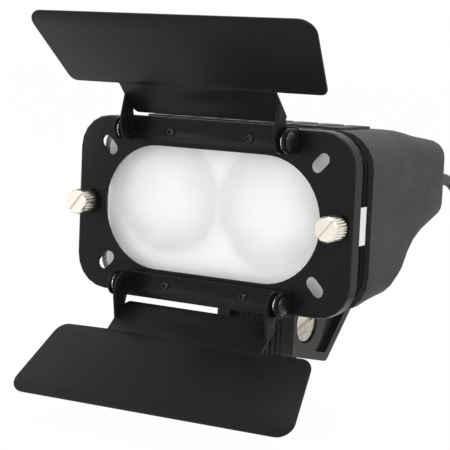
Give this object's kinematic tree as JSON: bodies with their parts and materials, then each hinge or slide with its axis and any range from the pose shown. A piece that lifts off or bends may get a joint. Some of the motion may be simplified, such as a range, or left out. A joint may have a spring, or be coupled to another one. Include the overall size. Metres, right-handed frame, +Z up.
{
  "type": "on-camera video light",
  "caption": "Battery video light for a camera's accessory shoe: lamps behind frosted glass in a ribbed housing, hinged barn doors on a pressed frame, tilting foot and coiled power cord.",
  "frame": {"origin": "centre of the accessory-shoe foot's underside", "axes": "+Z up, -Y the way the light shines, +X to the right as seen from in front of the light"},
  "size_m": [0.1845, 0.269, 0.1664],
  "materials": {
    "black_paint": "satin black enamel on pressed sheet",
    "charcoal_plastic": "fine-grained charcoal moulding",
    "bracket_plastic": "smooth satin black moulding",
    "black_plastic": "semi-gloss black moulding",
    "nickel": "warm satin nickel plate",
    "steel": "bright polished strip",
    "black_rivet": "glossy black",
    "frosted_glass": "etched, light-scattering",
    "lamp_mirror": "faceted mirror coating",
    "lamp_glass": "clear capsule",
    "ceramic": "unglazed ceramic",
    "cord_rubber": "soft satin sheath"
  },
  "bodies": {
    "foot": {"foot_stem": "bracket_plastic", "shoe_foot": "steel"},
    "head": {"cord": "cord_rubber", "cord_coil": "cord_rubber", "cord_tie": "black_plastic", "diffuser_glass": "frosted_glass", "door_frame": "black_paint", "frame_bracket_left": "steel", "frame_bracket_right": "steel", "glass_frame": "steel", "hinge_rivet_bottom_left": "black_rivet", "hinge_rivet_bottom_right": "black_rivet", "hinge_rivet_top_left": "black_rivet", "hinge_rivet_top_right": "black_rivet", "hinge_strip_bottom": "black_paint", "hinge_strip_top": "black_paint", "hinge_washer_bottom_left": "steel", "hinge_washer_bottom_right": "steel", "hinge_washer_top_left": "steel", "hinge_washer_top_right": "steel", "housing": "charcoal_plastic", "lamp_capsule_left": "lamp_glass", "lamp_capsule_right": "lamp_glass", "lamp_plate": "steel", "lamp_reflector_left": "lamp_mirror", "lamp_reflector_right": "lamp_mirror", "lamp_socket_left": "ceramic", "lamp_socket_right": "ceramic", "lens_bezel": "black_plastic", "plug_boot": "cord_rubber", "plug_pins": "black_plastic", "plug_shell": "nickel", "rear_screw_left": "steel", "rear_screw_right": "steel", "strain_relief": "cord_rubber", "strip_rivet_bottom_left": "black_rivet", "strip_rivet_bottom_right": "black_rivet", "strip_rivet_top_left": "black_rivet", "strip_rivet_top_right": "black_rivet", "switch_bezel_left": "black_plastic", "switch_bezel_right": "black_plastic", "tilt_bracket": "bracket_plastic", "tilt_nut": "steel"},
    "bottom_door": {"bottom_leaf": "black_paint"},
    "lock_wheel": {"shoe_lock_wheel": "black_plastic"},
    "left_rocker": {"switch_rocker_left": "black_plastic"},
    "right_rocker": {"switch_rocker_right": "black_plastic"},
    "left_thumbscrew": {"thumbscrew_left": "nickel"},
    "right_thumbscrew": {"thumbscrew_right": "nickel"},
    "clamp_screw": {"tilt_screw": "nickel"},
    "top_door": {"top_leaf": "black_paint"}
  },
  "joints": [
    {"name": "head_tilt", "type": "hinge", "parent": "foot", "child": "head", "pos_m": [0, 0, 0.042], "axis": [1, 0, 0], "range_deg": [-45, 15]},
    {"name": "top_door_hinge", "type": "hinge", "parent": "head", "child": "top_door", "pos_m": [-0.0083, -0.045, 0.12], "axis": [1, 0, 0], "range_deg": [-9, 83]},
    {"name": "bottom_door_hinge", "type": "hinge", "parent": "head", "child": "bottom_door", "pos_m": [-0.0083, -0.045, 0.056], "axis": [-1, 0, 0], "range_deg": [-14, 78]},
    {"name": "left_thumbscrew_turn", "type": "hinge", "parent": "head", "child": "left_thumbscrew", "pos_m": [-0.0676, -0.042, 0.088], "axis": [0, -1, 0], "continuous": true},
    {"name": "right_thumbscrew_turn", "type": "hinge", "parent": "head", "child": "right_thumbscrew", "pos_m": [0.051, -0.042, 0.088], "axis": [0, -1, 0], "continuous": true},
    {"name": "clamp_screw_turn", "type": "hinge", "parent": "head", "child": "clamp_screw", "pos_m": [0, 0, 0.042], "axis": [1, 0, 0], "continuous": true},
    {"name": "lock_wheel_turn", "type": "hinge", "parent": "foot", "child": "lock_wheel", "pos_m": [0, 0, 0.0074], "axis": [0, 0, 1], "continuous": true},
    {"name": "left_rocker_tip", "type": "hinge", "parent": "head", "child": "left_rocker", "pos_m": [-0.0403, 0.0477, 0.1015], "axis": [0, 0, 1], "range_deg": [-16, 0]},
    {"name": "right_rocker_tip", "type": "hinge", "parent": "head", "child": "right_rocker", "pos_m": [-0.0123, 0.0477, 0.1015], "axis": [0, 0, 1], "range_deg": [-16, 0]}
  ]
}
